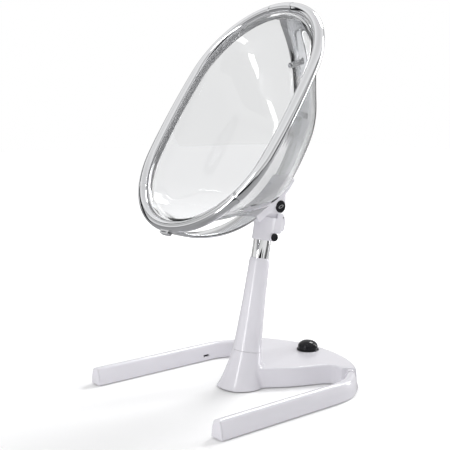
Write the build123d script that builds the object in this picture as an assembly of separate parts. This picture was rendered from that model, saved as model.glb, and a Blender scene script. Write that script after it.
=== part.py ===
"""Child's high chair: clear bucket seat in an oval hoop on a gas-lift pedestal.

Millimetres, +Z up, +Y to the back, origin on the floor at the middle of the feet.
"""
import os
from math import asin, atan2, cos, degrees, pi, radians, sin

from build123d import *

# ---------------------------------------------------------------- driving dimensions
# floor legs and base
FOOT_FRONT = -317.0      # front tips of the legs
FOOT_REAR = 317.0        # rear of the base
FOOT_HALF = 287.0        # half of the width over the legs
LEG_W = 39.0             # leg width at the floor
LEG_TOP_W = 18.0         # leg width at the top before rounding
LEG_Z0 = 3.0             # underside of legs and base (the pads are 3 high)
LEG_Z1 = 50.0            # top of the legs
CORNER_R = 205.0         # plan radius of the legs' rear bend
CORNER_Y = 85.0          # where the bend starts
SEAM_A = 42.0            # bend angle at which a leg meets the base
DECK_Z = 56.0            # top deck of the base
TOE_R = 44.0             # plan radius of the deck's front end, inside the toe
TOE_Y = -4.0             # plan centre of the deck's front end
WALL = 3.0
PEDAL_Y = 264.0
CUP_R = 30.05            # bore of the cup that the pedal sinks into
# column, all along an axis that leans back
LEAN = 10.4
SEAM_S = 100.0           # seam between base and column cover
SEAM_R = 41.0
COVER_TOP = 364.0
COVER_R = 28.5
TUBE_R = 25.0
TUBE_S0, TUBE_S1 = 100.0, 478.0
HUB_S0 = 415.0
HUB_R = 30.0
# seat
HOOP_Y, HOOP_Z = -52.6, 762.1
TILT = 34.6
HOOP_A, HOOP_B, HOOP_END = 351.0, 240.0, 235.5
HOOP_R = 14.5
BAND_W = 70.0
BAND_T = 10.0
PIVOT = (15.4, 514.3)    # seat hinge, across and along the column

COL = Plane(origin=(0, 0, 0), x_dir=(1, 0, 0), z_dir=(0, sin(radians(LEAN)), cos(radians(LEAN))))
SEAT = Plane(origin=(0, HOOP_Y, HOOP_Z), x_dir=(1, 0, 0),
             z_dir=(0, -cos(radians(TILT)), sin(radians(TILT))))
NODES = {}


def keep(name, shape):
    """Remember a finished piece under its node name."""
    solids = list(shape.solids())
    NODES[name] = solids[0] if len(solids) == 1 else Compound(children=solids)


def soft(part, edges, *radii):
    """Round edges with the first radius that works."""
    edges = list(edges)
    for r in radii:
        try:
            out = fillet(edges, r)
            if out.is_valid and out.volume > 0:
                return out
        except Exception:
            continue
    return part


def disc(r, s0, s1, x=0.0, y=0.0, hole=0.0):
    """Upright cylinder or ring between two heights."""
    d = Pos(x, y, (s0 + s1) / 2) * Cylinder(r, abs(s1 - s0))
    if hole:
        d -= Pos(x, y, (s0 + s1) / 2) * Cylinder(hole, abs(s1 - s0) + 2)
    return d


def lathe(points):
    """Solid turned about Z from (radius, height) corners."""
    face = make_face(Plane.XZ * Polyline(*points, close=True))
    return revolve(face, Axis.Z)


def cross(r, x0, x1, y, z, hole=0.0):
    """Cylinder along X between x0 and x1."""
    c = Pos((x0 + x1) / 2, y, z) * Rot(0, 90, 0) * Cylinder(r, abs(x1 - x0))
    if hole:
        c -= Pos((x0 + x1) / 2, y, z) * Rot(0, 90, 0) * Cylinder(hole, abs(x1 - x0) + 2)
    return c


def brick(x0, x1, y0, y1, z0, z1):
    return Pos((x0 + x1) / 2, (y0 + y1) / 2, (z0 + z1) / 2) * Box(x1 - x0, y1 - y0, z1 - z0)


def coil(r, wire, height, turns, at):
    """Compression spring standing at a place, along local Z."""
    helix = Helix(pitch=height / turns, height=height, radius=r)
    ring = Plane(origin=helix @ 0, z_dir=helix % 0) * Circle(wire)
    return at * sweep(ring, path=helix, is_frenet=True)


# ---------------------------------------------------------------- plan of the feet
def bend(off):
    """Corner and rear arcs of the U-shaped plan, moved inward by off: centre and radius."""
    cx = FOOT_HALF - CORNER_R
    k = CORNER_Y - FOOT_REAR
    rear_r = (CORNER_R ** 2 - k ** 2 - cx ** 2) / (2 * (k + CORNER_R))
    rear_y = FOOT_REAR - rear_r
    join = atan2(CORNER_Y - rear_y, cx)
    return cx, CORNER_R - off, rear_y, rear_r - off, join


def on_bend(off, angle):
    """Point of the plan at a bend angle in degrees (0 = straight leg side)."""
    cx, r, _, _, _ = bend(off)
    a = radians(angle)
    return (cx + r * cos(a), CORNER_Y + r * sin(a))


def u_path(off, y_start, angle_end, z):
    """Right leg path: straight back, then round the corner to a bend angle."""
    x = FOOT_HALF - off
    straight = Line((x, y_start, z), (x, CORNER_Y, z))
    p1 = on_bend(off, angle_end)
    pm = on_bend(off, angle_end / 2)
    arc = ThreePointArc((x, CORNER_Y, z), (pm[0], pm[1], z), (p1[0], p1[1], z))
    return Wire([straight, arc])


def leg_section(inset):
    """Arch-shaped leg section on the path's start plane, x across and y up from the underside."""
    w, t = LEG_W / 2 - inset, LEG_TOP_W / 2 - inset * 0.8
    h = LEG_Z1 - LEG_Z0 - inset
    b = max(inset, 0.0)
    with BuildSketch() as sk:
        with BuildLine():
            Polyline((-w, b), (w, b), (w - 1.0, b + 6), (t, h), (-t, h), (-w + 1.0, b + 6), (-w, b))
        make_face()
        top = sk.vertices().group_by(Axis.Y)[-1]
        fillet(top, max(1.5, 10.0 - inset))
    return sk.sketch


def leg_body(inset, y_start, angle_end):
    """Solid leg of the given inset along the right side."""
    path = u_path(LEG_W / 2, y_start, angle_end, LEG_Z0)
    sec = Plane(origin=path @ 0, x_dir=(-1, 0, 0), z_dir=(0, 1, 0)) * leg_section(inset)
    return sweep(sec, path=path)


def collar(inset, a0, a1):
    """Solid arch section swept along the right bend between two bend angles."""
    p = [on_bend(LEG_W / 2, a) for a in (a0, (a0 + a1) / 2, a1)]
    arc = ThreePointArc(*[(x, y, LEG_Z0) for x, y in p])
    t = arc % 0
    sec = Plane(origin=arc @ 0, x_dir=(-t.Y, t.X, 0), z_dir=t) * leg_section(inset)
    return sweep(sec, path=Wire([arc]))


def base_outline(off, back=0.0):
    """Closed plan of the base: rounded front, flared flanks, two mouths and the rear arc."""
    cx, cr, ry, rr, join = bend(off)
    seam = SEAM_A + 4.0 + back
    toe_r = TOE_R - off
    inner = on_bend(LEG_W + 1.0, seam)
    outer = on_bend(off, seam)
    a = radians(-4.0)
    p0 = (toe_r * cos(a), TOE_Y + toe_r * sin(a))
    mids = [(103.0 - off, 86.0), (131.0 - off, 150.0), (149.0 - off, 185.0 + off * 0.5),
            (162.0 - off * 0.6, 197.5 + off * 0.8)]
    lip = (inner[0] - 3.0, inner[1] - 4.0 + off)
    q = (toe_r * sin(radians(43)), TOE_Y - toe_r * cos(radians(43)))
    with BuildLine() as half:
        ThreePointArc((0, TOE_Y - toe_r), q, p0)
        Spline(p0, *mids, lip, tangents=[(0.5, 1.0), (1.0, 0.12)])
        Line(lip, outer)
        pj = (cx + cr * cos(join), CORNER_Y + cr * sin(join))
        ThreePointArc(outer, on_bend(off, (seam + degrees(join)) / 2), pj)
        jm = (join + pi / 2) / 2
        ThreePointArc(pj, (rr * cos(jm), ry + rr * sin(jm)), (0, ry + rr))
        mirror(about=Plane.YZ)
    return make_face(half.line.edges())


def deck_body(off, z0, z1, draft):
    """Low body of the base between two heights, drawn in towards the top."""
    lower = Pos(0, 0, z0) * base_outline(off)
    return extrude(lower, amount=z1 - z0, taper=draft)


def neck(off, s0, s1):
    """Neck that sweeps up from the toe to the seam with the column cover."""
    with BuildSketch(Plane.XZ) as sk:
        with BuildLine():
            c = Spline((71.0 - off, s0), (54.5 - off, 36.0), (46.0 - off, 70.0), (SEAM_R - off, s1),
                       tangents=[(-0.62, 1), (-0.10, 1)])
            Polyline(c @ 1, (0, s1), (0, s0), c @ 0)
        make_face()
    return COL * revolve(sk.sketch, Axis.Z)


# ---------------------------------------------------------------- base
deck = deck_body(0, LEG_Z0, DECK_Z, 5)
deck = soft(deck, deck.edges().group_by(Axis.Z)[-1], 9, 7, 5, 3)
room = extrude(Pos(0, 0, -5) * base_outline(8.6, 5.0), amount=DECK_Z - WALL + 5)
room = soft(room, room.edges().group_by(Axis.Z)[-1], 7, 5, 3)
slab = brick(-200, 200, -200, 200, LEG_Z0, 200)
boot = neck(0, -8.0, SEAM_S) & slab
boot_room = neck(WALL, -8.0, SEAM_S - 6) + COL * disc(36.8, 60, 110)
housing = deck + boot
for side in (1, -1):
    sock = collar(-1.8, SEAM_A, SEAM_A + 9.0) - collar(-0.35, SEAM_A - 1.0, SEAM_A + 1.6)
    housing += sock if side > 0 else sock.mirror(Plane.YZ)
joint_edges = [e for e in housing.edges() if e.length > 20 and e.center().Y < 110 and abs(e.center().X) < 90
               and e.bounding_box().min.Z > 20 and e.bounding_box().max.Z < 80
               and e.bounding_box().max.X - e.bounding_box().min.X > 6]
housing = soft(housing, joint_edges, 12, 8, 5, 3)
housing -= room
housing -= boot_room
# mouths where the foot tube and leg spigots enter
TUBE_FOOT_R = 10.0
TUBE_FOOT_Z = 20.0
foot_off = LEG_W / 2


def foot_path(y0):
    """Centre line of the bent foot tube from the left leg round the base to the right leg."""
    x = FOOT_HALF - foot_off
    cx, cr, ry, rr, join = bend(foot_off)
    pj = (cx + cr * cos(join), CORNER_Y + cr * sin(join))
    pm = (cx + cr * cos(join / 2), CORNER_Y + cr * sin(join / 2))
    z = TUBE_FOOT_Z
    return Wire([
        Line((x, y0, z), (x, CORNER_Y, z)),
        ThreePointArc((x, CORNER_Y, z), (pm[0], pm[1], z), (pj[0], pj[1], z)),
        ThreePointArc((pj[0], pj[1], z), (0, ry + rr, z), (-pj[0], pj[1], z)),
        ThreePointArc((-pj[0], pj[1], z), (-pm[0], pm[1], z), (-x, CORNER_Y, z)),
        Line((-x, CORNER_Y, z), (-x, y0, z)),
    ])


fp = foot_path(FOOT_FRONT + 14)
ring = Plane(origin=fp @ 0, z_dir=fp % 0)
tube_out = sweep(ring * Circle(TUBE_FOOT_R), path=fp)
tube_in = sweep(ring * Circle(TUBE_FOOT_R - 2), path=fp)
keep("foot_tube", tube_out - tube_in)
tube_hole = sweep(ring * Circle(TUBE_FOOT_R + 0.04), path=fp)
housing -= tube_hole
# screw bosses, pedal opening and column hole
BOSSES = [(0, -46), (88, 120), (-88, 120), (128, 205), (-128, 205), (62, 262), (-62, 262)]
for bx, by in BOSSES:
    boss = disc(6.5, 12, DECK_Z - 2 if by > 0 else 30, bx, by)
    housing += boss
    housing -= disc(2.02, 8, 30, bx, by)
housing -= disc(CUP_R + 2.02, DECK_Z - 12, DECK_Z + 5, 0, PEDAL_Y)
housing -= COL * disc(36.8, 86, 110)
keep("base_housing", housing)

plate = extrude(Pos(0, 0, 5) * base_outline(WALL + 6.0, 5.5), amount=4) + disc(58.0, 5, 9)
plate -= tube_hole
for bx, by in BOSSES:
    plate -= disc(2.3, 0, 12, bx, by)
plate -= COL * disc(9.0, -5, 30)
keep("base_plate", plate)

screws = []
for bx, by in BOSSES:
    screws.append(disc(4.0, 3.2, 5.0, bx, by) + disc(2.0, 4.9, 26, bx, by))
screws = [s - Pos(0, 0, 0) * brick(bx - 2.6, bx + 2.6, by - 0.5, by + 0.5, 3.0, 4.2)
          for s, (bx, by) in zip(screws, BOSSES)]
NODES["plate_screws"] = Compound(children=[s.solids()[0] for s in screws])

pads = [disc(10, 0, 5, px, py) for px, py in ((30, -34), (-30, -34), (122, 234), (-122, 234), (0, 228))]
pads = [soft(p, p.edges().group_by(Axis.Z)[0], 1.0) for p in pads]
NODES["base_pads"] = Compound(children=[p.solids()[0] for p in pads])

# column foot: cast block that holds the guide tube at its lean
GUIDE_R, GUIDE_IN = 28.5, 26.5
foot_block = COL * (disc(37.5, 4, 76)) & brick(-60, 60, -60, 90, 9.0, 90)
foot_block += extrude(Pos(0, 8, 9) * RectangleRounded(92, 84, 14), amount=7)
foot_block -= COL * disc(GUIDE_R + 0.02, 38, 90)
foot_block -= COL * disc(5.04, -10, 50)
foot_block -= COL * disc(11.5, -10, 30)
foot_block -= brick(-7.5, 7.5, 0, 90, 8, 25)
keep("column_foot", foot_block)
keep("guide_tube", COL * disc(GUIDE_R, 38.0, 236, hole=GUIDE_IN))
keep("upper_bush", COL * (disc(GUIDE_IN - 0.02, 212, 236, hole=TUBE_R + 0.05)
                          + disc(GUIDE_R + 0.6, 236, 240, hole=TUBE_R + 0.05)))
rod = disc(5.0, 24, 300) + disc(11.95, 290, 300) + disc(9.0, 38.2, 42)
keep("gas_rod", COL * (rod - disc(2.0, 10, 66)))
keep("rod_nut", COL * (extrude(Pos(0, 0, 25.0) * RegularPolygon(8.0, 6), amount=4.9) - disc(5.02, 0, 40)))

# column cover with a slightly hollow taper
with BuildSketch(Plane.XZ) as cover:
    with BuildLine():
        o = Spline((SEAM_R, SEAM_S + 0.8), (36.2, 160), (31.9, 250), (COVER_R, COVER_TOP - 1.2),
                   tangents=[(-0.11, 1), (-0.02, 1)])
        Line(o @ 1, (COVER_R - 1.2, COVER_TOP))
        Line((COVER_R - 1.2, COVER_TOP), (TUBE_R + 0.35, COVER_TOP))
        Line((TUBE_R + 0.35, COVER_TOP), (TUBE_R + 0.35, COVER_TOP - 16))
        i = Spline((TUBE_R + 0.9, COVER_TOP - 17), (31.9 - 2.6, 250), (36.2 - 2.6, 160), (SEAM_R - 3.2, SEAM_S + 0.8))
        Line((TUBE_R + 0.35, COVER_TOP - 16), i @ 0)
        Line(i @ 1, o @ 0)
    make_face()
cover_solid = revolve(cover.sketch, Axis.Z)
cover_solid += disc(SEAM_R - 2.6, SEAM_S + 0.8, SEAM_S + 4, hole=34.0)
cover_solid += disc(36.6, SEAM_S - 7, SEAM_S + 3, hole=34.0)
keep("column_cover", COL * cover_solid)

# ---------------------------------------------------------------- legs
SEAM_GAP = 0.8
for side in (1, -1):
    name = "right" if side > 0 else "left"
    shell = leg_body(0.0, FOOT_FRONT + 4.8, SEAM_A + 1.2)
    hollow = leg_body(WALL, FOOT_FRONT + 3.0, SEAM_A + 4)
    body = shell - hollow
    for frac in (0.10, 0.5, 0.84, 0.995):
        rib = shell & Plane(origin=u_path(foot_off, FOOT_FRONT, SEAM_A, LEG_Z0) @ frac,
                            z_dir=u_path(foot_off, FOOT_FRONT, SEAM_A, LEG_Z0) % frac) * \
            Box(80, 160, 3.0)
        body += rib
    body -= tube_hole
    cap = extrude(Plane(origin=(FOOT_HALF - foot_off, FOOT_FRONT + 4.0, LEG_Z0), x_dir=(-1, 0, 0),
                        z_dir=(0, 1, 0)) * leg_section(0.0), amount=-4.0)
    front = cap.edges().group_by(Axis.Y)[0]
    cap = soft(cap, front, 2.5, 1.5)
    plug = extrude(Plane(origin=(FOOT_HALF - foot_off, FOOT_FRONT + 4.0, LEG_Z0), x_dir=(-1, 0, 0),
                         z_dir=(0, 1, 0)) * leg_section(WALL + 0.02), amount=9.0)
    cap += plug
    cap -= brick(180, 300, FOOT_FRONT + 12.9, FOOT_FRONT + 20, 0, 60)
    if side < 0:
        body, cap = body.mirror(Plane.YZ), cap.mirror(Plane.YZ)
        # small service slot near the bend of the left leg
        body -= brick(-FOOT_HALF + LEG_W - 6, -FOOT_HALF + LEG_W + 2, 62, 84, 14, 20)
    keep(name + "_leg", body)
    keep(name + "_leg_cap", cap)

pads = []
for side in (1, -1):
    for py in (FOOT_FRONT + 30, 60):
        pads.append(extrude(Pos(side * (FOOT_HALF - foot_off), py, 0) * RectangleRounded(20, 44, 6),
                            amount=LEG_Z0))
NODES["leg_pads"] = Compound(children=[p.solids()[0] for p in pads])

bolts = []
cuts = None
_, _, rear_y, rear_r, _ = bend(foot_off)
for side in (1, -1):
    for angle in (58, 66):
        bx = side * rear_r * cos(radians(angle))
        by = rear_y + rear_r * sin(radians(angle))
        hole = disc(4.02, 0, 40, bx, by)
        cuts = hole if cuts is None else cuts + hole
        bolts.append(disc(6.5, 3.2, 5.0, bx, by) + disc(3.98, 4.9, TUBE_FOOT_Z + 8, bx, by))
for node in ("base_plate", "foot_tube", "base_housing"):
    NODES[node] = NODES[node] - cuts
NODES["leg_bolts"] = Compound(children=[b.solids()[0] for b in bolts])

# ---------------------------------------------------------------- pedal and release lever
bezel = disc(33.5, DECK_Z, DECK_Z + 3.0, 0, PEDAL_Y, hole=CUP_R)
bezel = soft(bezel, bezel.edges().group_by(Axis.Z)[-1], 1.2, 0.8)
bezel += disc(CUP_R + 2, DECK_Z - 12, DECK_Z + 1.0, 0, PEDAL_Y, hole=CUP_R)
bezel += disc(CUP_R + 1, DECK_Z - 12, DECK_Z - 9, 0, PEDAL_Y, hole=8.05)
keep("pedal_bezel", bezel)
dome = disc(CUP_R - 0.35, DECK_Z - 2, DECK_Z + 29, 0, PEDAL_Y)
dome = soft(dome, dome.edges().group_by(Axis.Z)[-1], 10, 8, 6)
dome -= disc(CUP_R - 3.4, DECK_Z - 3, DECK_Z + 17, 0, PEDAL_Y)
dome += disc(19.5, DECK_Z + 4.0, DECK_Z + 18, 0, PEDAL_Y, hole=16.5)
keep("pedal_cap", dome)
stem = disc(8.0, 33.0, DECK_Z + 17, 0, PEDAL_Y)
stem = soft(stem, stem.edges().group_by(Axis.Z)[0], 3, 2)
keep("pedal_stem", stem)
keep("pedal_spring", coil(12.4, 1.0, 21.0, 4.5, Pos(0, PEDAL_Y, DECK_Z - 8.0)))

LEVER_Y, LEVER_Z = 118.0, 22.5
arm = brick(-6, 6, LEVER_Y, PEDAL_Y + 8, 19.5, 25.5)
arm += brick(-6, 6, -4, LEVER_Y, 11.2, 16.6)
arm += cross(7.0, -6, 6, LEVER_Y, LEVER_Z)
arm -= cross(3.04, -8, 8, LEVER_Y, LEVER_Z)
arm += cross(4.5, -6, 6, PEDAL_Y, 28.4)
arm -= brick(-10, 10, PEDAL_Y - 20, PEDAL_Y + 20, 32.9, 40)
keep("release_lever", arm)
bracket = brick(-14, 14, LEVER_Y - 12, LEVER_Y + 12, 9.0, 10.8)
for sx in (-1, 1):
    bracket += brick(sx * 10 - 3.0, sx * 10 + 3.0, LEVER_Y - 9, LEVER_Y + 9, 9.0, LEVER_Z + 8)
bracket -= cross(3.02, -20, 20, LEVER_Y, LEVER_Z)
keep("lever_bracket", bracket)
keep("lever_pin", cross(3.0, -15, 15, LEVER_Y, LEVER_Z))

# valve pin inside the hollow rod, along the column
keep("valve_pin", COL * (disc(1.95, 17.6, 58)))

# ---------------------------------------------------------------- lift column
keep("lift_tube", COL * (disc(TUBE_R, TUBE_S0, TUBE_S1, hole=22.5)))
keep("lift_bush", COL * (disc(GUIDE_IN - 0.05, TUBE_S0 - 4, TUBE_S0, hole=16.0)
                         + disc(22.45, TUBE_S0 - 4, TUBE_S0 + 12, hole=16.0)))
cylinder = disc(14.0, 150, 448) - disc(12.0, 146, 440)
keep("gas_cylinder", COL * cylinder)
keep("cylinder_seal", COL * (disc(11.98, 150, 166, hole=5.05) + disc(14.0, 147, 150, hole=5.05)))
plug = disc(22.46, 430, 474) - disc(14.03, 420, 448.02)
keep("tube_plug", COL * plug)

# hub yoke: collar round the tube, two cheeks and a rear block
PY, PS = PIVOT
PADDLE = (46.0, 484.5)
LUG_IN, LUG_OUT, LUG_R = 10.2, 20.6, 17.5
CHEEK_IN, CHEEK_OUT, CHEEK_R = 21.0, 37.0, 20.0
yoke = disc(HUB_R, HUB_S0, 482)
yoke = soft(yoke, yoke.edges().group_by(Axis.Z)[0], 3, 2)
rear = extrude(Pos(0, 22, 437) * RectangleRounded(52, 60, 12), amount=58)
rear = soft(rear, rear.edges().group_by(Axis.Z)[0], 8, 6, 4)
yoke += rear
with BuildSketch(Plane.YZ) as ck:
    with BuildLine():
        Polyline((-17, 480), (46, 480), (40, 492), (PY + 17.2, PS - 4), (PY + 17.4, PS),
                 (PY - 17.4, PS), (PY - 17.2, PS - 6), (-17, 480))
    make_face()
    with Locations((PY, PS)):
        Circle(LUG_R)
lug = extrude(ck.sketch, amount=LUG_OUT - LUG_IN)
yoke += Pos(LUG_IN, 0, 0) * lug + Pos(-LUG_OUT, 0, 0) * lug
boss = cross(12.5, 10, 32, 13.0, 426.5)
yoke += boss
yoke -= disc(TUBE_R + 0.02, 400, TUBE_S1 + 0.1)
yoke -= cross(LUG_R + 0.6, -LUG_IN, LUG_IN, PY, PS)
for sx in (-1, 1):
    yoke -= cross(CHEEK_R + 0.6, sx * (LUG_OUT + 0.01), sx * 60, PY, PS)
    x0, x1 = sorted((sx * (LUG_OUT + 0.01), sx * 60))
    yoke -= brick(x0, x1, -60, 22, 480, 560)
yoke -= cross(6.05, -60, 60, PY, PS)
# room for the brake plunger, its link and the paddle root
yoke -= brick(-10.2, 10.2, 3.5, 60, 476, 520)
yoke -= brick(-15.3, 15.3, 38.0, 60, 470, 520)
yoke -= cross(3.02, -40, 40, *PADDLE)
# side button room
yoke -= cross(11.3, 27.0, 60, 13.0, 426.5) + cross(7.0, 25.4, 28, 13.0, 426.5)
keep("hub_yoke", COL * yoke)
keep("pivot_pin", COL * cross(6.0, -33.0, 33.0, PY, PS))
for side, name in ((1, "right"), (-1, "left")):
    cap = cross(15.1, side * 34.0, side * 37.2, PY, PS)
    lip = cross(17.3, side * (CHEEK_OUT + 0.02), side * (CHEEK_OUT + 4.0), PY, PS)
    lip = soft(lip, lip.edges().sort_by(Axis.X)[-1:] if side > 0 else lip.edges().sort_by(Axis.X)[:1], 1.5, 1)
    ringcut = cross(12.5, side * (CHEEK_OUT + 3.3), side * (CHEEK_OUT + 5), PY, PS, hole=11.3)
    keep("pivot_cap_" + name, COL * (cap + lip - ringcut))
set_screws = [COL * cross(2.4, sx * 22.6, sx * 29.0, 0, 445) for sx in (-1, 1)]
for s in set_screws:
    NODES["hub_yoke"] = NODES["hub_yoke"] - s
NODES["hub_screws"] = Compound(children=[
    (COL * cross(2.38, sx * 25.04, sx * 28.9, 0, 445)).solids()[0] for sx in (-1, 1)])

# side button in its boss
button = cross(10.9, 33.2, 38.0, 13.0, 426.5)
button = soft(button, button.edges().sort_by(Axis.X)[-1:], 1.6, 1)
button += cross(11.2, 32.6, 33.4, 13.0, 426.5) + cross(4.0, 31.0, 33, 13.0, 426.5)
keep("side_button", COL * button)
keep("button_spring", COL * coil(6.0, 0.5, 2.6, 1.8, Pos(25.9, 13.0, 426.5) * Rot(0, 90, 0)))

# brake plunger under the saddle's drum, and the recline paddle that pulls it down
shoe = brick(-9.9, 9.9, 9.0, 20.0, 480.4, PS)
shoe -= cross(LUG_R + 0.06, -16, 16, PY, PS)
shoe -= brick(-20, 20, 0, 30, 498.5, 540)
shoe -= brick(-4.4, 4.4, 13.6, 30, PADDLE[1] - 2.5, PADDLE[1] + 2.5)
keep("brake_shoe", COL * shoe)
with BuildSketch(Plane.YZ) as pd:
    with BuildLine():
        Polyline((41, 490), (52.0, 491), (60.0, 487), (66.0, 474), (65.0, 452), (60.0, 445.0),
                 (55.0, 447), (53.5, 466), (51.0, 477.0), (41.5, 478), (41, 490))
    make_face()
    fillet([v for v in pd.vertices() if v.Z > 486 or v.Z < 450 or v.Y > 60.5], 2.2)
paddle = extrude(pd.sketch, amount=15.0, both=True)
paddle += brick(-4.0, 4.0, 16.5, 43.0, PADDLE[1] - 1.6, PADDLE[1] + 1.6)
paddle += cross(2.4, -4.0, 4.0, 16.5, PADDLE[1])
paddle -= cross(3.04, -30, 30, *PADDLE)
keep("recline_paddle", COL * paddle)
keep("paddle_pin", COL * cross(3.0, -25.5, 25.5, *PADDLE))

# ---------------------------------------------------------------- seat frame: X, along the hoop, out of the bowl
SIDE_R = (HOOP_END ** 2 - HOOP_B ** 2 - (HOOP_A - HOOP_END) ** 2) / (2 * (HOOP_END - HOOP_B))
SIDE_DEG = degrees(asin((HOOP_A - HOOP_END) / (SIDE_R - HOOP_END)))


def oval(a, b, z=0.0, cy=0.0, round_end=0.97):
    """Closed four-arc oval face."""
    r1 = b * round_end
    r2 = (r1 ** 2 - b ** 2 - (a - r1) ** 2) / (2 * (r1 - b))
    sa = (a - r1) / (r2 - r1)
    ca = (r2 - b) / (r2 - r1)
    tx, ty = -(r2 - b) + r2 * ca, r2 * sa
    e1 = ThreePointArc((tx, cy + ty, z), (0, cy + a, z), (-tx, cy + ty, z))
    e2 = ThreePointArc((-tx, cy + ty, z), (-b, cy, z), (-tx, cy - ty, z))
    e3 = ThreePointArc((-tx, cy - ty, z), (0, cy - a, z), (tx, cy - ty, z))
    e4 = ThreePointArc((tx, cy - ty, z), (b, cy, z), (tx, cy + ty, z))
    return make_face(Wire([e1, e2, e3, e4]).edges())


def hoop_arc(end, a0, a1):
    """Arc of the hoop's centre line round its upper (+1) or lower (-1) end, in degrees."""
    cy = end * (HOOP_A - HOOP_END)
    p = [(HOOP_END * cos(radians(a)), cy + HOOP_END * sin(radians(a)), 0) for a in (a0, (a0 + a1) / 2, a1)]
    return ThreePointArc(*p)


def hoop_side(side):
    cx = -side * (SIDE_R - HOOP_B)
    p = [(cx + side * SIDE_R * cos(radians(a)), SIDE_R * sin(radians(a)), 0) for a in (SIDE_DEG, 0, -SIDE_DEG)]
    return ThreePointArc(*p)


def pipe(edges, r, wall=0.0):
    path = Wire(edges)
    at = Plane(origin=path @ 0, z_dir=path % 0)
    tube = sweep(at * Circle(r), path=path)
    if wall:
        tube -= sweep(at * Circle(r - wall), path=path)
    return tube


TOP_GAP = 10.5           # half angle of the top sleeve
LOW = 33.5               # where the lower tube starts, below the side
upper = pipe([hoop_arc(1, 90 - TOP_GAP, SIDE_DEG), hoop_side(1), hoop_arc(-1, -SIDE_DEG, -LOW)], HOOP_R, 2.0)
lower = pipe([hoop_arc(-1, -LOW - 0.12, -180 + LOW + 0.12)], HOOP_R, 2.0)
sleeve = pipe([hoop_arc(1, 90 - TOP_GAP + 0.12, 90 + TOP_GAP - 0.12)], HOOP_R + 0.4, 2.4)
whole = pipe([hoop_arc(1, 70, 110)], HOOP_R + 0.42)
whole_low = pipe([hoop_arc(-1, -70, -110)], HOOP_R + 0.02)
hoop_full = pipe([hoop_arc(1, 90, SIDE_DEG), hoop_side(1), hoop_arc(-1, -SIDE_DEG, -90)], HOOP_R + 0.02)
spigots = []
for a0, end in ((90 - TOP_GAP, 1), (90 + TOP_GAP, 1), (-LOW, -1), (-180 + LOW, -1)):
    spigots.append(pipe([hoop_arc(end, a0 - 5.5, a0 + 5.5)], HOOP_R - 2.02, 2.0))

# ---------------------------------------------------------------- seat bowl
# depth, far end towards the head, far end towards the feet, half width
BOWL = ((0, 334, -334, 223.5), (45, 304, -314, 208), (85, 270, -287, 188), (125, 234, -255, 168),
        (165, 200, -221, 147), (200, 168, -192, 121), (230, 134, -160, 91), (249, 92, -118, 62),
        (256, 50, -70, 36))
SKIN = 3.6


def bowl(inset, top):
    secs = []
    for d, head, feet, half in BOWL:
        z = -d + (inset * 0.85 if d else top)
        secs.append(oval((head - feet) / 2 - inset, half - inset, z, (head + feet) / 2))
    return loft(secs)


outer = bowl(0.0, 0.0)
inner_bowl = bowl(SKIN, 0.5)
shell = outer - inner_bowl
rim = extrude(oval(334.0, 223.5), amount=-13) - extrude(Pos(0, 0, 1) * oval(325.5, 215.0), amount=-16)
shell = shell + (rim & outer)


# ---------------------------------------------------------------- band round the back of the bowl
BAND_START, BAND_HEADING = (350.0, -3.0), -104.2
BAND_ARCS = ((332.0, 23.8), (384.0, 20.9), (371.5, 94.9), (131.0, 25.9))     # radius, turn


def band_line():
    """Centre line of the band: tangent arcs from the top of the hoop round the bowl to its bottom."""
    y, z = BAND_START
    h = radians(BAND_HEADING)
    arcs = []
    for r, turn in BAND_ARCS:
        cy, cz = y + r * sin(h), z - r * cos(h)
        at = [(0, cy - r * sin(h - radians(k)), cz + r * cos(h - radians(k))) for k in (0, turn / 2, turn)]
        arcs.append(ThreePointArc(*at))
        h -= radians(turn)
        y, z = at[2][1], at[2][2]
    return Wire(arcs)


line = band_line()


def band_strip(t0, t1, lo, hi, half, n=28):
    """Strip that follows the band's centre line between two places, from lo to hi across it."""
    a, b = [], []
    for i in range(n + 1):
        t = t0 + (t1 - t0) * i / n
        p, d = line @ t, line % t
        nx, nz = -d.Z, d.Y
        a.append((0, p.Y + nx * lo, p.Z + nz * lo))
        b.append((0, p.Y + nx * hi, p.Z + nz * hi))
    e1, e2 = Spline(*a), Spline(*b)
    face = make_face([e1, Line(e1 @ 1, e2 @ 1), e2, Line(e2 @ 0, e1 @ 0)])
    return extrude(face, amount=half, both=True)


H = BAND_T / 2
SPLIT = 0.59


def band_piece(t0, t1):
    b = band_strip(t0, t1, -H, H, BAND_W / 2)
    long_edges = [e for e in b.edges() if abs(abs(e.center().X) - BAND_W / 2) < 0.1 and e.length > 60]
    b = soft(b, long_edges, 4.4, 3.5, 2.0)
    return b - band_strip(t0 + 0.02, t1 - 0.02, -H + 2.2, H - 2.2, BAND_W / 2 - 5.5)


back_band = band_piece(0.0, SPLIT - 0.0006) - whole
front_band = band_piece(SPLIT + 0.0006, 1.0) - whole_low - outer

# ---------------------------------------------------------------- saddle under the band
pivot_y = PY * cos(radians(LEAN)) + PS * sin(radians(LEAN)) - HOOP_Y
pivot_z = PS * cos(radians(LEAN)) - PY * sin(radians(LEAN)) - HOOP_Z
PV = pivot_y * sin(radians(TILT)) + pivot_z * cos(radians(TILT))      # seat hinge in the seat frame
PZ = pivot_z * sin(radians(TILT)) - pivot_y * cos(radians(TILT))
saddle = band_strip(0.53, 0.708, -H - 2.4, H + 9.0, BAND_W / 2 + 4.0)
saddle = soft(saddle, [e for e in saddle.edges() if abs(abs(e.center().X) - BAND_W / 2 - 4) < 0.1
                       and e.length > 60], 2.3, 1.5)
with BuildSketch(Plane.YZ) as sk:
    with BuildLine():
        Polyline((PV - 18.0, PZ - 8.5), (-166, -247), (-120, -262), (-78, -274), (PV + 14, PZ - 14.3),
                 (PV - 18.0, PZ - 8.5))
    make_face()
    with Locations((PV, PZ)):
        Circle(CHEEK_R)
web = sk.sketch
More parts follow.
